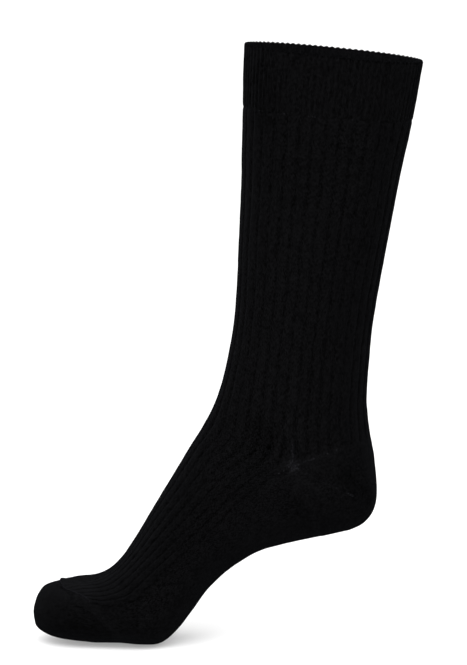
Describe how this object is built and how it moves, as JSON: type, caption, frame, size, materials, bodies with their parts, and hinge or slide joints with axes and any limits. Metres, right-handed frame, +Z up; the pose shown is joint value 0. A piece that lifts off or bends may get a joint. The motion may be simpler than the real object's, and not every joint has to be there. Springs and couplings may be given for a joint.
{
  "type": "mid-calf rib-knit sock",
  "caption": "Mid-calf rib-knit sock that keeps the hollow form of a leg on tiptoe: fine-rib cuff, wide-rib leg and instep, plain heel, sole and toe.",
  "frame": {"origin": "centre of the leg opening, where the wearer's leg holds the sock up", "axes": "+Z up the leg, -X towards the toe, +X towards the heel, Y from side to side"},
  "size_m": [0.2601, 0.094, 0.4025],
  "materials": {
    "fine_rib_knit": "black cotton one-and-one rib knit with elastic, matt",
    "wide_rib_knit": "black cotton four-and-one rib knit, matt with a slight nap",
    "plain_knit": "black cotton plain knit, matt with a slight nap"
  },
  "bodies": {
    "root": {"cuff": "fine_rib_knit", "leg": "wide_rib_knit", "heel": "plain_knit", "foot": "wide_rib_knit", "toe": "plain_knit"}
  },
  "joints": []
}
